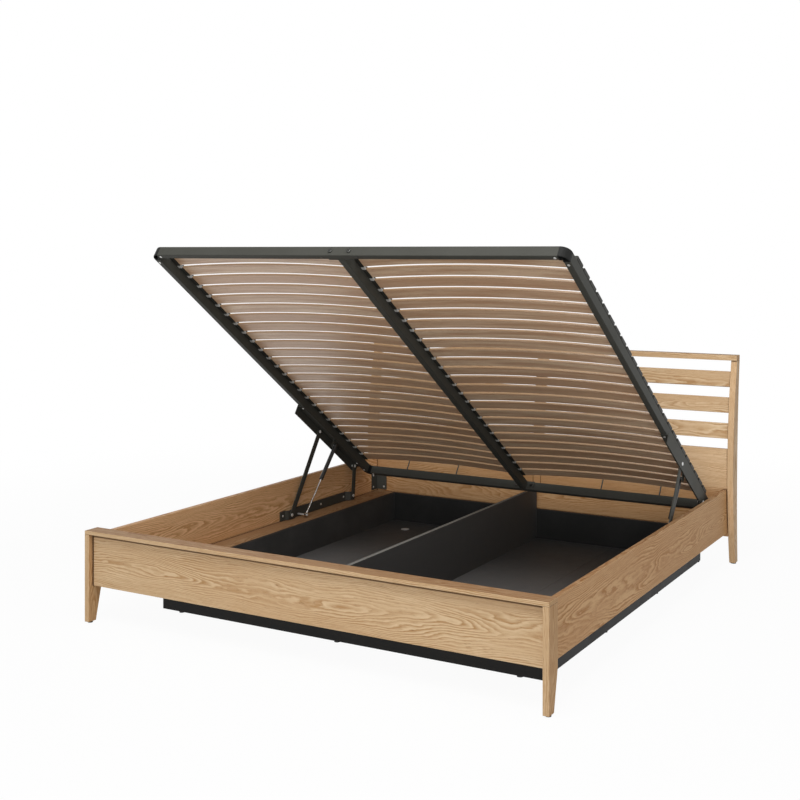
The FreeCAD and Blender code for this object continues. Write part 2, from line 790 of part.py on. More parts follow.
def slats_and_holders():
    top = tube_height + holder_height
    span = (slat_head_inset - holder_width / 2, slat_head_inset + holder_width / 2)
    holders = []
    clips = []
    beam_holder = platform_block(
        -holder_beam_reach, holder_beam_reach, *span, tube_height, top, holder_edge)
    gap_from = span[1] + slat_fit
    gap_to = slat_head_inset + slat_pitch - holder_width / 2 - slat_fit
    clip_top = tube_height + clip_height
    for side, word in ((-1, "left"), (1, "right")):
        save("slats_" + word, repeat(slat(side, slat_head_inset, 0), slat_rows))
        pocket = slat(side, slat_head_inset, slat_fit)
        side_holder = platform_block(
            side * holder_inner, side * platform_half_width, *span, tube_height, top, holder_edge)
        holders += repeat(side_holder.cut(pocket), slat_rows)
        beam_holder = beam_holder.cut(pocket)
        room = (gap_from, gap_to, tube_height, clip_top)
        side_clip = platform_block(side * holder_inner, side * (holder_inner + clip_side_length), *room)
        beam_inner = holder_beam_reach - clip_beam_length
        beam_clip = platform_block(side * beam_inner, side * holder_beam_reach, *room)
        clips += repeat(side_clip, slat_rows - 1) + repeat(beam_clip, slat_rows - 1)
    save("slat_holders", holders + repeat(beam_holder, slat_rows))
    save("slat_clips", clips)


def mattress_bow(side):
    # Bent wire standing on the head bar to stop the mattress
    middle = bow_place_share * platform_half_width
    near = side * (middle - bow_width / 2)
    far = side * (middle + bow_width / 2)
    y = -bow_from_head
    rise = tube_height + bow_height
    shoulder = rise - bow_bend
    turn = bow_bend * (1 - math.sqrt(2) / 2)
    near_in = near + side * bow_bend
    far_in = far - side * bow_bend
    path = Part.Wire([
        line(V(near, y, tube_height), V(near, y, shoulder)),
        arc(V(near, y, shoulder), V(near + side * turn, y, rise - turn), V(near_in, y, rise)),
        line(V(near_in, y, rise), V(far_in, y, rise)),
        arc(V(far_in, y, rise), V(far - side * turn, y, rise - turn), V(far, y, shoulder)),
        line(V(far, y, shoulder), V(far, y, tube_height)),
    ])
    profile = Part.Wire([Part.makeCircle(bow_wire, V(near, y, tube_height), V(0, 0, 1))])
    return on_platform(path.makePipeShell([profile], True, False))


foot_end()
head_end()
rails_and_glides()
corner_brackets()
storage_box()
ledges()
fixed_fittings()
arms()
gas_springs()
frame()
platform_fasteners()
slats_and_holders()
save("mattress_bows", [mattress_bow(-1), mattress_bow(1)])
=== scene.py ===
import bpy
import math
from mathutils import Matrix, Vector


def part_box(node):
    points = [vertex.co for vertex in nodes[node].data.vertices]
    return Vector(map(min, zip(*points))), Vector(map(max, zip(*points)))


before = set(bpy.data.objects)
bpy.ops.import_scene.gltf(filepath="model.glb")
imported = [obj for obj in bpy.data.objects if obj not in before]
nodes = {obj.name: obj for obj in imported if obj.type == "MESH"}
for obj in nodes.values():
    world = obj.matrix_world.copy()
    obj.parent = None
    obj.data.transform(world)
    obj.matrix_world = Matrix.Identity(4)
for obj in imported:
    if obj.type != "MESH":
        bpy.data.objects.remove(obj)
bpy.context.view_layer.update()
print("frame loaded,", len(nodes), "nodes")


# small helpers for laying out nodes
def fill(tree, sockets, values):
    for label, value in values.items():
        if isinstance(value, bpy.types.NodeSocket):
            tree.links.new(value, sockets[label])
        else:
            sockets[label].default_value = value


def put(tree, kind, inputs=None, **settings):
    node = tree.nodes.new("ShaderNode" + kind)
    for label, value in settings.items():
        setattr(node, label, value)
    fill(tree, node.inputs, inputs or {})
    return node


def calc(tree, operation, first, second=0.0, third=0.0, clamp=False):
    values = {0: first, 1: second, 2: third}
    return put(tree, "Math", values, operation=operation, use_clamp=clamp).outputs[0]


def times(tree, first, second):
    return calc(tree, "MULTIPLY", first, second)


def move(tree, operation, first, second):
    return put(tree, "VectorMath", {0: first, 1: second}, operation=operation).outputs[0]


def measure(tree, operation, first, second=(0, 0, 0)):
    return put(tree, "VectorMath", {0: first, 1: second}, operation=operation).outputs["Value"]


def split(tree, vector):
    return put(tree, "SeparateXYZ", {0: vector}).outputs


def position(tree):
    return put(tree, "TexCoord").outputs["Object"]


def facing(tree):
    return split(tree, put(tree, "NewGeometry").outputs["Normal"])


def cloud(tree, vector, stretch, detail=2.0, rough=0.5, part="Fac"):
    spread = move(tree, "MULTIPLY", vector, stretch)
    values = {"Vector": spread, "Scale": 1.0, "Detail": detail, "Roughness": rough}
    return put(tree, "TexNoise", values).outputs[part]


def remap(tree, value, low, high, newLow=0.0, newHigh=1.0):
    values = {"Value": value, 1: low, 2: high, 3: newLow, 4: newHigh}
    return put(tree, "MapRange", values, interpolation_type="SMOOTHSTEP").outputs[0]


def tint(tree, share, first, second, mode="MIX"):
    values = {0: share, 6: first, 7: second}  # slots of the colour mix
    return put(tree, "Mix", values, data_type="RGBA", blend_type=mode).outputs[2]


# a colour as seen on a screen, turned into light levels
def shade(red, green, blue):
    def straighten(level):
        level = level / 255
        return level / 12.92 if level <= 0.04045 else ((level + 0.055) / 1.055) ** 2.4
    return (straighten(red), straighten(green), straighten(blue), 1.0)


def startGroup(name, inputs, outputs):
    group = bpy.data.node_groups.new(name, "ShaderNodeTree")
    for label, kind, value in inputs:
        socket = group.interface.new_socket(label, in_out="INPUT", socket_type="NodeSocket" + kind)
        socket.default_value = value
    for label, kind in outputs:
        group.interface.new_socket(label, in_out="OUTPUT", socket_type="NodeSocket" + kind)
    entry = group.nodes.new("NodeGroupInput").outputs
    leave = group.nodes.new("NodeGroupOutput").inputs
    return group, entry, leave


def useGroup(tree, group, values):
    return put(tree, "Group", values, node_tree=group).outputs


def startMaterial(name):
    material = bpy.data.materials.new(name)
    material.use_nodes = True
    tree = material.node_tree
    return material, tree, tree.nodes["Principled BSDF"]


def dress(names, material):
    for name in names:
        mesh = nodes[name].data
        mesh.materials.clear()
        mesh.materials.append(material)


white = (1, 1, 1, 1)
black = (0, 0, 0, 1)
finishOutputs = [("Color", "Color"), ("Roughness", "Float"), ("Height", "Float")]


# rubbed edges, shared by wood, paint and plastic
def edgeGroup():
    inputs = [("Width", "Float", 0.002), ("Strength", "Float", 1.0)]
    group, entry, leave = startGroup("rubbedEdges", inputs, [("Mask", "Float")])
    rounded = put(group, "Bevel", {"Radius": entry["Width"]}, samples=6).outputs[0]
    plain = put(group, "NewGeometry").outputs["Normal"]
    edge = remap(group, measure(group, "DOT_PRODUCT", rounded, plain), 0.99, 0.80)
    patchy = cloud(group, position(group), (38, 38, 38), 4.0, 0.6)
    worn = times(group, edge, remap(group, patchy, 0.35, 0.65, 0.25, 1.0))
    fill(group, leave, {"Mask": calc(group, "MULTIPLY", worn, entry["Strength"], clamp=True)})
    return group


# how far the year rings wander: stretch of the noise, its detail, and the sway in metres
ringSways = (((1.5, 7, 7), 2.0, 0.09), ((6, 22, 22), 3.0, 0.016), ((30, 90, 90), 2.0, 0.003))


# year rings of a slow grown trunk, cut so that they arch along the board
def oakGroup():
    inputs = [("Board", "Vector", (0, 0, 0)), ("Heart", "Float", 0.06), ("Slope", "Float", 0.03),
              ("Ring", "Float", 0.005), ("Pale", "Color", white), ("Warm", "Color", white),
              ("Brown", "Color", white), ("Pore", "Color", white)]
    group, entry, leave = startGroup("oakFigure", inputs, finishOutputs)
    board = entry["Board"]
    bent = board
    for stretch, detail, sway in ringSways:
        drift = move(group, "SUBTRACT", cloud(group, board, stretch, detail, 0.5, "Color"), (0.5, 0.5, 0.5))
        bent = move(group, "ADD", bent, move(group, "MULTIPLY", drift, (0, sway, sway)))
    # distance from the heart of the trunk, counted in rings
    along, across, through = split(group, bent)
    deep = calc(group, "ADD", through, calc(group, "MULTIPLY_ADD", along, entry["Slope"], entry["Heart"]))
    radius = calc(group, "SQRT", calc(group, "MULTIPLY_ADD", deep, deep, times(group, across, across)))
    year = calc(group, "FRACT", calc(group, "DIVIDE", radius, entry["Ring"]))
    early = times(group, remap(group, year, 0.0, 0.12), remap(group, year, 0.70, 0.15))
    late = times(group, remap(group, year, 0.62, 0.84), remap(group, year, 1.0, 0.90))
    # slow changes along the board, then streaks, fibres and pores
    broad = cloud(group, board, (1.3, 6, 6), 2.0, 0.5)
    strong = remap(group, cloud(group, board, (2.6, 11, 11), 3.0, 0.55), 0.34, 0.64, 0.25, 1.0)
    streak = remap(group, cloud(group, bent, (3.0, 150, 150), 4.0, 0.65), 0.30, 0.70)
    fibre = cloud(group, bent, (11, 480, 480), 3.0, 0.6)
    dash = remap(group, cloud(group, bent, (34, 420, 420), 2.0, 0.6), 0.60, 0.72)
    pore = remap(group, cloud(group, board, (60, 1500, 1500), 1.0), 0.57, 0.68)
    pore = calc(group, "MAXIMUM", times(group, pore, 0.45), dash)
    pore = times(group, pore, calc(group, "MULTIPLY_ADD", early, 0.65, 0.35))  # most of them in early wood
    grain = times(group, early, times(group, strong, 0.62))
    grain = calc(group, "MULTIPLY_ADD", streak, 0.38, grain)
    grain = calc(group, "MULTIPLY_ADD", remap(group, fibre, 0.25, 0.75), 0.18, grain, clamp=True)
    flame = times(group, times(group, late, strong), 0.70)
    wood = tint(group, remap(group, broad, 0.35, 0.65), entry["Warm"], entry["Pale"])
    wood = tint(group, grain, wood, entry["Brown"])
    wood = tint(group, flame, wood, entry["Pale"])
    wood = tint(group, times(group, pore, 0.55), wood, entry["Pore"])
    rough = calc(group, "MULTIPLY_ADD", grain, 0.10, 0.46)
    rough = calc(group, "MULTIPLY_ADD", pore, 0.18, rough)
    height = calc(group, "MULTIPLY_ADD", pore, -1.0, times(group, fibre, 0.5))
    height = calc(group, "MULTIPLY_ADD", early, -0.25, height)
    fill(group, leave, {"Color": wood, "Roughness": rough, "Height": height})
    return group


# fleck of steamed beech, with every slat a little different
def beechGroup():
    inputs = [("Board", "Vector", (0, 0, 0)), ("Pale", "Color", white), ("Pink", "Color", white),
              ("Fleck", "Color", white), ("Pitch", "Float", 0.0735), ("First", "Float", 0.1195)]
    group, entry, leave = startGroup("beechFigure", inputs, finishOutputs)
    board = entry["Board"]
    part = split(group, board)
    # number of the slat, counted from the head end, gives each its own cut of wood
    along = calc(group, "SUBTRACT", times(group, part[1], -1.0), entry["First"])
    row = calc(group, "FLOOR", calc(group, "ADD", calc(group, "DIVIDE", along, entry["Pitch"]), 0.5))
    seed = calc(group, "MULTIPLY_ADD", calc(group, "SIGN", part[0]), 57.3, row)
    chance = put(group, "TexWhiteNoise", {"W": seed}, noise_dimensions="1D").outputs
    own = move(group, "ADD", board, move(group, "MULTIPLY", chance["Color"], (9, 4, 4)))
    streak = cloud(group, own, (2.2, 60, 60), 3.0, 0.55)
    fibre = cloud(group, own, (14, 520, 520), 2.0, 0.6)
    fleck = remap(group, cloud(group, own, (130, 900, 900), 1.0), 0.60, 0.70)
    wood = tint(group, remap(group, streak, 0.36, 0.66), entry["Pale"], entry["Pink"])
    wood = tint(group, times(group, chance["Value"], 0.85), wood, entry["Pink"])
    wood = tint(group, times(group, fleck, 0.45), wood, entry["Fleck"])
    wood = tint(group, times(group, remap(group, fibre, 0.35, 0.70), 0.34), wood, entry["Fleck"])
    rough = calc(group, "MULTIPLY_ADD", fibre, 0.16, 0.24)
    height = calc(group, "MULTIPLY_ADD", fleck, -0.4, fibre)
    fill(group, leave, {"Color": wood, "Roughness": rough, "Height": height})
    return group


# baked powder paint: fine orange peel, faint sparkle and hand marks
def paintGroup():
    inputs = [("Color", "Color", black), ("Smear", "Float", 0.5), ("Rough", "Float", 0.5)]
    group, entry, leave = startGroup("powderPaint", inputs, finishOutputs)
    place = position(group)
    grit = cloud(group, place, (1100, 1100, 1100), 2.0, 0.6)
    peel = cloud(group, place, (260, 260, 260), 2.0, 0.5)
    smear = remap(group, cloud(group, place, (7, 7, 7), 4.0, 0.6), 0.4, 0.7)
    smear = times(group, smear, entry["Smear"])
    bright = tint(group, 0.35, entry["Color"], shade(120, 120, 116))
    color = tint(group, times(group, remap(group, grit, 0.5, 0.75), 0.35), entry["Color"], bright)
    color = tint(group, times(group, smear, 0.22), color, bright)
    rough = calc(group, "MULTIPLY_ADD", smear, 0.14, entry["Rough"])
    rough = calc(group, "MULTIPLY_ADD", grit, 0.10, rough)
    height = calc(group, "MULTIPLY_ADD", grit, 0.5, peel)
    fill(group, leave, {"Color": color, "Roughness": rough, "Height": height})
    return group


# skin of a melamine board or a moulding: pearl texture, dust and light scuffs
def skinGroup():
    inputs = [("Color", "Color", black), ("Dust", "Color", (0.2, 0.2, 0.2, 1)), ("Pearl", "Float", 700.0),
              ("Scuff", "Float", 0.5), ("Rough", "Float", 0.5)]
    group, entry, leave = startGroup("pearlSkin", inputs, finishOutputs)
    place = position(group)
    values = {"Vector": place, "Scale": entry["Pearl"], "Randomness": 1.0}
    pearl = put(group, "TexVoronoi", values, feature="SMOOTH_F1").outputs["Distance"]
    dust = remap(group, cloud(group, place, (5, 5, 5), 5.0, 0.65), 0.42, 0.72)
    scratch = remap(group, cloud(group, place, (60, 900, 900), 1.0), 0.66, 0.72)
    scratch = times(group, scratch, entry["Scuff"])
    color = entry["Color"]
    for mask, share in ((dust, 0.10), (scratch, 0.18), (pearl, 0.12)):
        color = tint(group, times(group, mask, share), color, entry["Dust"])
    rough = calc(group, "MULTIPLY_ADD", dust, 0.12, entry["Rough"])
    rough = calc(group, "MULTIPLY_ADD", scratch, -0.12, rough)
    fill(group, leave, {"Color": color, "Roughness": rough, "Height": pearl})
    return group


# plated or polished metal: drawn lines, spangle and handling haze
def platingGroup():
    inputs = [("Vector", "Vector", (0, 0, 0)), ("Color", "Color", white), ("Haze", "Color", white),
              ("Spangle", "Float", 350.0), ("Rough", "Float", 0.3)]
    group, entry, leave = startGroup("platedMetal", inputs, finishOutputs)
    place = entry["Vector"]
    cell = put(group, "TexVoronoi", {"Vector": place, "Scale": entry["Spangle"]}).outputs["Color"]
    cell = put(group, "SeparateColor", {0: cell}).outputs[0]
    haze = remap(group, cloud(group, place, (45, 45, 45), 4.0, 0.6), 0.35, 0.7)
    lines = cloud(group, place, (1500, 1500, 90), 2.0, 0.5)
    color = tint(group, times(group, cell, 0.35), entry["Color"], entry["Haze"])
    color = tint(group, times(group, haze, 0.30), color, entry["Haze"])
    rough = calc(group, "MULTIPLY_ADD", haze, 0.12, entry["Rough"])
    rough = calc(group, "MULTIPLY_ADD", lines, 0.08, rough)
    fill(group, leave, {"Color": color, "Roughness": rough, "Height": lines})
    return group


rubbedEdges = edgeGroup()
oakFigure = oakGroup()
beechFigure = beechGroup()
powderPaint = paintGroup()
pearlSkin = skinGroup()
platedMetal = platingGroup()
print("shared finishes ready")

bumpStrength = 0.6
steepFace = (0.80, 0.95)  # how squarely a face has to look up or sideways to count


def finishMaterial(tree, surface, look, color, bumpHeight):
    bump = put(tree, "Bump", {"Height": look["Height"], "Distance": bumpHeight, "Strength": bumpStrength})
    values = {"Base Color": color, "Roughness": look["Roughness"], "Normal": bump.outputs[0]}
    fill(tree, surface.inputs, values)


def rubEdges(tree, color, width, strength, rubbedColor):
    rubbed = useGroup(tree, rubbedEdges, {"Width": width, "Strength": strength})
    return tint(tree, rubbed["Mask"], color, rubbedColor)


# oak boards: one material each, so that no grain runs on from board to board
oak = {
    "pale": shade(214, 188, 152), "warm": shade(203, 173, 136), "brown": shade(170, 131, 88),
    # the colour at the end of the next line is for painted shade and painted shadow lines
    "pore": shade(112, 77, 46), "rubbed": shade(222, 200, 168), "paintedShade": shade(58, 35, 18),
    "edgeWidth": 0.0025, "edgeWear": 0.35, "poreDepth": 0.00012, "gloss": 0.1,
    "nextBoard": 3.7, "heartSway": 0.012, "heartTurn": 2.4,  # steps through the wood from board to board
    # tones of painted shade for upper and side faces, and the boards whose sides get none
    "paintedTopShade": (0.60, 0.52, 0.47, 1.0), "paintedSideShade": (0.92, 0.82, 0.70, 1.0), "plainSides": "head_post",
    # painted shade where boards meet and in corners: reach to a neighbour, how open a place is where the
    # shade starts and is full, and its share
    "shadeReach": 0.009, "shadeOpen": (0.92, 0.52), "shadeShare": 0.85,
    "bedSide": -0.5,  # faces that look more than this towards the foot end
    # shadow on a board: piece above and its depth, piece beside and its width
    "gaps": {"foot_panel": ("foot_cap", 0.0115, "foot_leg_right", 0.005)},
    "gapBlur": 0.001, "gapShare": 0.8,
    # painted shade under the platform: heights where a browner tone starts and is full, and that tone
    "paintedLowShade": {"head_panel": (0.36, 0.31, (0.74, 0.61, 0.49, 1.0))},
    # how far the heart line lies below the board's middle
    "lowHeart": {"head_panel": 0.0925},
    # painted shadow lines at upright joints: distance from the middle, half width, lower end
    "seams": {"head_panel": (0.0195, 0.0022, 0.26)},
    "seamShare": 0.7,
    # directions along, across and through the board, heart depth, slope, ring width, lightness
    "boards": {
        "foot_panel": ("xzy", 0.050, 0.030, 0.0052),
        "foot_cap": ("xyz", 0.090, 0.020, 0.0050),
        "foot_leg_left": ("zyx", 0.080, 0.060, 0.0050),
        "foot_leg_right": ("zyx", 0.070, -0.050, 0.0050),
        "head_post_left": ("zyx", 0.075, 0.040, 0.0050),
        "head_post_right": ("zyx", 0.085, -0.045, 0.0050, (1.10, 1.11, 1.13)),
        "head_top_rail": ("xzy", 0.060, -0.025, 0.0050),
        "head_board_upper": ("xzy", 0.035, 0.030, 0.0052, (0.96, 0.98, 1.0)),
        "head_board_middle": ("xzy", 0.045, -0.034, 0.0052, (1.0, 1.02, 1.05)),
        "head_board_lower": ("xzy", 0.060, 0.020, 0.0052, (1.08, 1.12, 1.17)),
        "head_panel": ("xzy", 0.030, -0.060, 0.0055, (1.12, 1.12, 1.14)),
        "head_stile": ("zxy", 0.060, 0.030, 0.0050),
        # painted light: the left rail much paler than the other boards, standing in for light on its shaded
        # inner face
        "side_rail_left": ("yzx", 0.055, 0.028, 0.0055, (1.50, 1.48, 1.56)),
        "side_rail_right": ("yzx", 0.050, -0.030, 0.0055, (1.06, 1.0, 0.94)),
        "ledge_left": ("yxz", 0.050, 0.030, 0.0052),
        "ledge_right": ("yxz", 0.060, -0.030, 0.0052),
        "ledge_foot": ("xyz", 0.050, 0.030, 0.0052)}}


# wood coordinates of a board: along, across and through it, in a part of the trunk of its own
def boardPlace(tree, name, count, directions):
    low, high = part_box(name)
    part = split(tree, move(tree, "SUBTRACT", position(tree), tuple((low + high) / 2)))
    order = {slot: part["xyz".index(letter)] for slot, letter in enumerate(directions)}
    turned = put(tree, "CombineXYZ", order)
    offCentre = oak["lowHeart"].get(name, oak["heartSway"] * math.sin(oak["heartTurn"] * count))
    return move(tree, "ADD", turned.outputs[0], (oak["nextBoard"] * count, offCentre, 0.0))


# painted shade: upper faces and side faces darker than the fronts, as the light falls on them
def paintedFaceShade(tree, name, color):
    direction = facing(tree)
    color = tint(tree, remap(tree, direction[2], *steepFace), color, oak["paintedTopShade"], "MULTIPLY")
    if not name.startswith(oak["plainSides"]):
        sideways = calc(tree, "ABSOLUTE", direction[0])
        color = tint(tree, remap(tree, sideways, *steepFace), color, oak["paintedSideShade"], "MULTIPLY")
    return color


# faces of the headboard that look towards the foot end
def bedSide(tree):
    return calc(tree, "LESS_THAN", facing(tree)[1], oak["bedSide"])


# painted shade where boards meet and in corners, darker the nearer other surfaces are
def paintedJointShade(tree, color):
    near = put(tree, "AmbientOcclusion", {"Distance": oak["shadeReach"]}, samples=5).outputs["AO"]
    dark = remap(tree, near, *oak["shadeOpen"], 0.0, oak["shadeShare"])
    return tint(tree, dark, color, oak["paintedShade"])


def shadowGaps(tree, name, color):
    above, deep, beside, wide = oak["gaps"][name]
    top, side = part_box(above)[0].z - deep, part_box(beside)[0].x - wide
    blur = oak["gapBlur"]
    part = split(tree, position(tree))
    upper = remap(tree, part[2], top - blur, top + blur)
    outer = remap(tree, calc(tree, "ABSOLUTE", part[0]), side - blur, side + blur)
    gap = calc(tree, "MAXIMUM", upper, outer)
    return tint(tree, times(tree, gap, oak["gapShare"]), color, oak["paintedShade"])


# painted shadow lines at the upright joints of the head panel, on the side facing the foot end
def paintedSeamShadows(tree, name, color):
    offset, reach, lowEnd = oak["seams"][name]
    part = split(tree, position(tree))
    seam = calc(tree, "COMPARE", calc(tree, "ABSOLUTE", part[0]), offset, reach)
    seam = times(tree, seam, calc(tree, "GREATER_THAN", part[2], lowEnd))
    seam = times(tree, seam, bedSide(tree))
    return tint(tree, times(tree, seam, oak["seamShare"]), color, oak["paintedShade"])


def oakBoard(count, name, directions, heart, slope, ring, lightness=(1.0, 1.0, 1.0)):
    material, tree, surface = startMaterial("oak_" + name)
    startDepth = heart - slope * oak["nextBoard"] * count  # keeps the heart depth at the board's middle
    place = boardPlace(tree, name, count, directions)
    values = {"Board": place, "Heart": startDepth, "Slope": slope, "Ring": ring}
    for label in ("pale", "warm", "brown", "pore"):
        tone = [level * factor for level, factor in zip(oak[label], lightness)]
        values[label.capitalize()] = (*tone, 1.0)
    look = useGroup(tree, oakFigure, values)
    color = rubEdges(tree, look["Color"], oak["edgeWidth"], oak["edgeWear"], oak["rubbed"])
    color = paintedFaceShade(tree, name, color)
    # painted shade: the lower head panel browner on the side facing the foot end
    if name in oak["paintedLowShade"]:
        start, stop, browner = oak["paintedLowShade"][name]
        height = split(tree, position(tree))[2]
        low = times(tree, remap(tree, height, start, stop), bedSide(tree))
        color = tint(tree, low, color, browner, "MULTIPLY")
    color = paintedJointShade(tree, color)
    if name in oak["gaps"]:
        color = shadowGaps(tree, name, color)
    if name in oak["seams"]:
        color = paintedSeamShadows(tree, name, color)
    finishMaterial(tree, surface, look, color, oak["poreDepth"])
    surface.inputs["Specular IOR Level"].default_value = oak["gloss"]
    dress([name], material)


for count, (name, board) in enumerate(oak["boards"].items(), 1):
    oakBoard(count, name, *board)
print("oak boards finished")


# beech slats, with the grain along each slat in the plane of the raised platform
slat = {
    "pale": shade(234, 207, 176), "pink": shade(199, 160, 127), "fleck": shade(160, 120, 88),
    "rubbed": shade(178, 146, 114), "edgeWidth": 0.0012, "edgeWear": 0.35,
    # the sawn edges, the direction they look in and how squarely
    "sawn": shade(150, 116, 78), "sawnFace": (0.0, -0.8234, 0.5674), "sawnTurn": (0.30, 0.75),
    "tilt": math.radians(-34.57), "hinge": (0.0, 0.847, 0.2629), "pitch": 0.0735, "first": 0.1195,
    "grainDepth": 0.00008, "gloss": 1.0, "nodes": ["slats_left", "slats_right"]}


def slatMaterial():
    material, tree, surface = startMaterial("beech_slats")
    turned = {"Vector": position(tree), "Location": slat["hinge"], "Rotation": (slat["tilt"], 0, 0)}
    flat = put(tree, "Mapping", turned, vector_type="TEXTURE").outputs[0]
    values = {"Board": flat, "Pale": slat["pale"], "Pink": slat["pink"], "Fleck": slat["fleck"],
              "Pitch": slat["pitch"], "First": slat["first"]}
    look = useGroup(tree, beechFigure, values)
    color = rubEdges(tree, look["Color"], slat["edgeWidth"], slat["edgeWear"], slat["rubbed"])
    ownFacing = put(tree, "TexCoord").outputs["Normal"]
    sawn = calc(tree, "ABSOLUTE", measure(tree, "DOT_PRODUCT", ownFacing, slat["sawnFace"]))
    color = tint(tree, remap(tree, sawn, *slat["sawnTurn"]), color, slat["sawn"])
    finishMaterial(tree, surface, look, color, slat["grainDepth"])
    surface.inputs["Specular IOR Level"].default_value = slat["gloss"]
    dress(slat["nodes"], material)


slatMaterial()
print("slats finished")


# painted steel: lift frame, arms, plates, brackets, mattress bows and gas cylinders
blackCoat = {"color": shade(66, 66, 61), "rough": 0.46, "gloss": 0.12, "smear": 0.5, "depth": 0.00010}
steel = {
    "frame": {**blackCoat, "nodes": [
        "frame_tube_left", "frame_tube_right", "frame_head_bar", "frame_foot_bar", "frame_centre_beam",
        "upper_plate_left", "upper_plate_right", "lower_plate_left", "lower_plate_right",
        "rear_arm_left", "rear_arm_right", "corner_brackets", "mattress_bows"]},
    "frontArm": {**blackCoat, "nodes": ["front_arm_left", "front_arm_right"],
                 # end of the pin in the arm, near white and little metallic as a painted highlight: its
                 # row, height, radius and how far out it ends
                 "stud": (0.4215, 0.5354, 0.0078, 0.88835)},
    "cylinder": {"color": shade(38, 38, 38), "rough": 0.24, "gloss": 0.5, "smear": 0.3, "depth": 0.00003,
                 "nodes": ["gas_cylinder_left", "gas_cylinder_right"]}}
paintEdge = {"width": 0.0015, "strength": 0.55, "rubbedColor": shade(106, 105, 100)}
# zinc of the pin end, made near white and little metallic as a painted highlight
studZincGlint = {"color": shade(244, 244, 241), "mirror": 0.15}


def studMask(tree, row, height, radius, outerEnd):
    across, along, rise = split(tree, position(tree))
    flat = put(tree, "CombineXYZ", {
        0: calc(tree, "SUBTRACT", along, row),
        1: calc(tree, "SUBTRACT", rise, height)}).outputs[0]
    bare = calc(tree, "LESS_THAN", measure(tree, "LENGTH", flat), radius)
    return times(tree, bare, calc(tree, "LESS_THAN", calc(tree, "ABSOLUTE", across), outerEnd))


def paintMaterial(name, paint):
    material, tree, surface = startMaterial("steel_" + name)
    values = {"Color": paint["color"], "Smear": paint["smear"], "Rough": paint["rough"]}
    look = useGroup(tree, powderPaint, values)
    color = rubEdges(tree, look["Color"], **paintEdge)
    # painted highlight on the pin end
    if "stud" in paint:
        bare = studMask(tree, *paint["stud"])
        color = tint(tree, bare, color, studZincGlint["color"])
        tree.links.new(times(tree, bare, studZincGlint["mirror"]), surface.inputs["Metallic"])
    finishMaterial(tree, surface, look, color, paint["depth"])
    surface.inputs["Specular IOR Level"].default_value = paint["gloss"]
    dress(paint["nodes"], material)


for name, paint in steel.items():
    paintMaterial(name, paint)
print("steel finished")


# melamine boards of the storage box, and all mouldings
skins = {
    "laminate": {
        "color": shade(36, 36, 36), "dust": shade(84, 84, 82), "edge": shade(60, 60, 58),
        "pearl": 900.0, "scuff": 0.5, "rough": 0.50, "gloss": 0.12, "depth": 0.00006,
        # painted light: inside faces of the side walls made paler
        "paintedInnerLight": (-0.2, 2.7),  # side walls that look inwards, and how much paler they are
        "nodes": ["box_side_left", "box_side_right", "box_front", "box_back"]},
    "divider": {
        # painted light: divider paler than the box walls, its rubbed edges and top face paler still as a
        # painted highlight
        "color": shade(76, 76, 76), "dust": shade(90, 90, 88), "edge": shade(150, 150, 147),
        "pearl": 900.0, "scuff": 0.5, "rough": 0.50, "gloss": 0.12, "depth": 0.00006,
        "band": shade(122, 122, 118), "nodes": ["box_divider"]},
    "boxFloor": {
        # painted light: the floor boards much paler than the box walls of the same board
        "color": shade(104, 104, 104), "dust": shade(116, 116, 114), "edge": shade(64, 64, 62),
        "pearl": 900.0, "scuff": 0.6, "rough": 0.50, "gloss": 0.15, "depth": 0.00006,
        # painted shade: the floor darker towards the head end
        "paintedShadeEnd": (0.0, 0.65, 0.38),  # starts here, is full here, and the level it falls to
        "nodes": ["box_floor_inner_left", "box_floor_inner_right", "box_floor_outer_left",
                  "box_floor_outer_right"]},
    "blackPlastic": {
        "color": shade(42, 41, 37), "dust": shade(100, 100, 96), "edge": shade(60, 60, 58),
        "pearl": 1400.0, "scuff": 0.3, "rough": 0.44, "gloss": 0.15, "depth": 0.00008,
        "nodes": ["slat_holders"]},
    "cornerPlastic": {
        "color": shade(30, 30, 29), "dust": shade(70, 70, 68), "edge": shade(44, 44, 42),
        "pearl": 1400.0, "scuff": 0.3, "rough": 0.38, "gloss": 0.08, "depth": 0.00005,
        "nodes": ["frame_corners"]},
    "greyPlastic": {
        "color": shade(186, 186, 183), "dust": shade(206, 206, 203), "edge": shade(204, 204, 201),
        "pearl": 1400.0, "scuff": 0.3, "rough": 0.46, "gloss": 0.4, "depth": 0.00008,
        "nodes": ["slat_clips"]},
    "capPlastic": {
        "color": shade(170, 171, 172), "dust": shade(196, 196, 194), "edge": shade(130, 130, 130),
        "pearl": 1400.0, "scuff": 0.3, "rough": 0.46, "gloss": 0.4, "depth": 0.00008,
        "nodes": ["floor_cap"]},
    "glidePlastic": {
        "color": shade(34, 34, 34), "dust": shade(110, 110, 106), "edge": shade(74, 74, 72),
        "pearl": 1100.0, "scuff": 0.5, "rough": 0.52, "gloss": 0.3, "depth": 0.00008,
        "nodes": ["box_feet", "leg_glides"]}}
skinEdge = {"width": 0.0015, "strength": 0.6}


# paints light or shade into the skin: paler or darker where the mask is full
def changeLevel(tree, mask, color, level):
    return tint(tree, mask, color, (level, level, level, 1.0), "MULTIPLY")


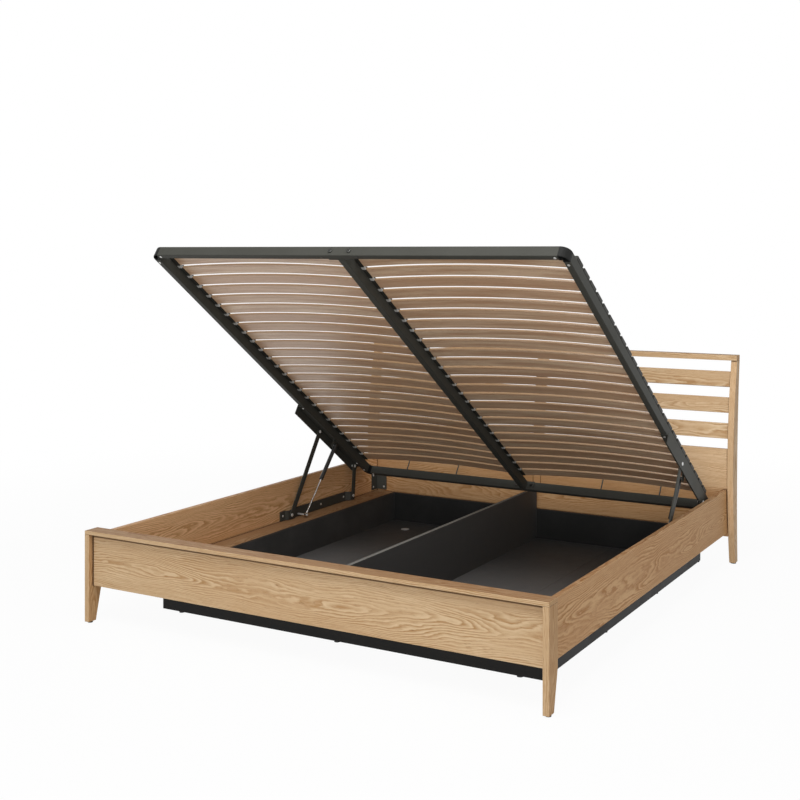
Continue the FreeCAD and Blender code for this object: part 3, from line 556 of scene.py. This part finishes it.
def skinMaterial(name, skin):
    material, tree, surface = startMaterial("skin_" + name)
    values = {"Color": skin["color"], "Dust": skin["dust"], "Pearl": skin["pearl"], "Scuff": skin["scuff"],
              "Rough": skin["rough"]}
    look = useGroup(tree, pearlSkin, values)
    color = rubEdges(tree, look["Color"], rubbedColor=skin["edge"], **skinEdge)
    if "paintedShadeEnd" in skin:
        # painted shade: darker towards the head end, under the platform
        start, stop, level = skin["paintedShadeEnd"]
        along = split(tree, position(tree))[1]
        color = changeLevel(tree, remap(tree, along, start, stop), color, level)
    if "paintedInnerLight" in skin:
        # painted light: side walls paler on the inside of the box
        inward, level = skin["paintedInnerLight"]
        across = split(tree, position(tree))[0]
        inside = calc(tree, "LESS_THAN", times(tree, across, facing(tree)[0]), inward)
        color = changeLevel(tree, inside, color, level)
    if "band" in skin:
        # painted highlight: a pale band on the top face
        color = tint(tree, remap(tree, facing(tree)[2], *steepFace), color, skin["band"])
    finishMaterial(tree, surface, look, color, skin["depth"])
    surface.inputs["Specular IOR Level"].default_value = skin["gloss"]
    dress(skin["nodes"], material)


for name, skin in skins.items():
    skinMaterial(name, skin)
print("box and mouldings finished")


# zinc plated fixings and the polished gas rods
metals = {
    "zinc": {
        "color": shade(232, 232, 229), "haze": shade(190, 191, 191), "spangle": 420.0, "rough": 0.34,
        "depth": 0.00003, "mirror": 0.5,
        "nodes": ["bracket_screws", "lower_plate_screws", "lower_pivot_pins", "lower_gas_studs",
                  "platform_pins", "platform_rivets"]},
    "darkBolt": {
        "color": shade(96, 96, 93), "haze": shade(36, 36, 35), "spangle": 420.0, "rough": 0.24,
        "depth": 0.00003, "mirror": 1.0, "nodes": ["beam_bolts"]},
    "chrome": {
        "color": shade(226, 227, 228), "haze": shade(176, 178, 180), "spangle": 150.0, "rough": 0.07,
        "depth": 0.00001, "mirror": 1.0, "nodes": ["gas_rod_left", "gas_rod_right"]}}


def metalMaterial(name, metal):
    material, tree, surface = startMaterial("metal_" + name)
    values = {"Vector": position(tree), "Color": metal["color"], "Haze": metal["haze"],
              "Spangle": metal["spangle"], "Rough": metal["rough"]}
    look = useGroup(tree, platedMetal, values)
    finishMaterial(tree, surface, look, look["Color"], metal["depth"])
    surface.inputs["Metallic"].default_value = metal["mirror"]
    dress(metal["nodes"], material)


for name, metal in metals.items():
    metalMaterial(name, metal)
print("fixings finished")


# pale studio floor that keeps a soft shadow, a white world and three lamps
studio = {
    "floorSize": 60.0, "floorDrop": 0.0005, "floorColor": (0.84, 0.84, 0.84, 1.0), "floorRough": 0.9,
    "nearWhite": 0.95, "whiteNear": 1.6, "whiteFar": 4.5,  # whiter with the distance from the bed
    "worldLight": 0.34, "floorMirrored": 1.0, "horizonMirrored": 0.8, "skyFade": (0.55, 0.95),
    "keyTurn": 18.0, "keyRise": 7.0, "keyFar": 8.0, "keyStrength": 0.85, "keySpread": 24.0,
    "topPlace": (0.5, -2.6, 3.8), "topAim": (0.0, 0.0, 0.3), "topSize": 2.2, "topPower": 100.0,
    "backPlace": (1.2, -0.7, 3.0), "backAim": (0.7, 1.05, 1.1), "backSize": 1.0, "backPower": 14.0}


# share of a ray that sees plain white: the camera's own, and what is mirrored or seen through
def seenShare(tree, mirrored):
    path = put(tree, "LightPath").outputs
    seen = calc(tree, "MAXIMUM", path["Is Camera Ray"], path["Is Transmission Ray"])
    return calc(tree, "MAXIMUM", seen, times(tree, path["Is Glossy Ray"], mirrored))


def studioFloor():
    half = studio["floorSize"] / 2
    mesh = bpy.data.meshes.new("studioFloor")
    corners = [(-half, -half, 0), (half, -half, 0), (half, half, 0), (-half, half, 0)]
    mesh.from_pydata(corners, [], [(0, 1, 2, 3)])
    floor = bpy.data.objects.new("studioFloor", mesh)
    bpy.context.collection.objects.link(floor)
    floor.location.z = -studio["floorDrop"]
    material, tree, surface = startMaterial("pale_floor")
    fill(tree, surface.inputs, {"Base Color": studio["floorColor"], "Roughness": studio["floorRough"],
                                "Specular IOR Level": 0.0})
    glow = put(tree, "Emission", {"Color": white, "Strength": 1.0}).outputs[0]
    away = measure(tree, "LENGTH", position(tree))
    whiteness = remap(tree, away, studio["whiteNear"], studio["whiteFar"], studio["nearWhite"], 1.0)
    share = times(tree, whiteness, seenShare(tree, studio["floorMirrored"]))
    both = put(tree, "MixShader", {0: share, 1: surface.outputs[0], 2: glow}).outputs[0]
    tree.links.new(both, tree.nodes["Material Output"].inputs["Surface"])
    mesh.materials.append(material)


def studioWorld():
    world = bpy.data.worlds.new("studioWorld")
    world.use_nodes = True
    tree = world.node_tree
    height = split(tree, put(tree, "TexCoord").outputs["Generated"])[2]
    mirrored = remap(tree, height, *studio["skyFade"], studio["horizonMirrored"], 0.0)
    strength = remap(tree, seenShare(tree, mirrored), 0.0, 1.0, studio["worldLight"], 1.0)
    fill(tree, tree.nodes["Background"].inputs, {"Color": white, "Strength": strength})
    bpy.context.scene.world = world


def addLamp(lamp, place, aim):
    item = bpy.data.objects.new(lamp.name, lamp)
    bpy.context.collection.objects.link(item)
    item.location = place
    item.rotation_euler = (Vector(aim) - Vector(place)).to_track_quat("-Z", "Y").to_euler()


# wide far light from the front right, the same at the head end as at the foot end
def keyLight():
    key = bpy.data.lights.new("keyLight", "SUN")
    key.energy = studio["keyStrength"]
    key.angle = math.radians(studio["keySpread"])
    turn, rise, far = math.radians(studio["keyTurn"]), math.radians(studio["keyRise"]), studio["keyFar"]
    level = far * math.cos(rise)
    addLamp(key, (level * math.sin(turn), -level * math.cos(turn), far * math.sin(rise)), (0, 0, 0))


# soft square light: top reaches the box under the platform, back the headboard
def softLight(label):
    lamp = bpy.data.lights.new(label + "Light", "AREA")
    lamp.size = studio[label + "Size"]
    lamp.energy = studio[label + "Power"]
    addLamp(lamp, studio[label + "Place"], studio[label + "Aim"])


studioFloor()
studioWorld()
keyLight()
for label in ("top", "back"):
    softLight(label)
print("studio ready")


# level camera to the right of the foot end
view = {"place": (2.4042, -4.5029, 1.4108), "turn": 30.03, "focal": 55.016, "sensor": 36.0,
        "shiftUp": -0.18668}


def viewCamera():
    data = bpy.data.cameras.new("viewCamera")
    data.sensor_width = view["sensor"]
    data.lens = view["focal"]
    data.shift_y = view["shiftUp"]
    camera = bpy.data.objects.new("viewCamera", data)
    bpy.context.collection.objects.link(camera)
    camera.location = view["place"]
    camera.rotation_euler = (math.radians(90), 0, math.radians(view["turn"]))
    bpy.context.scene.camera = camera


viewCamera()
bpy.context.scene.view_settings.view_transform = "Standard"
print("camera ready")
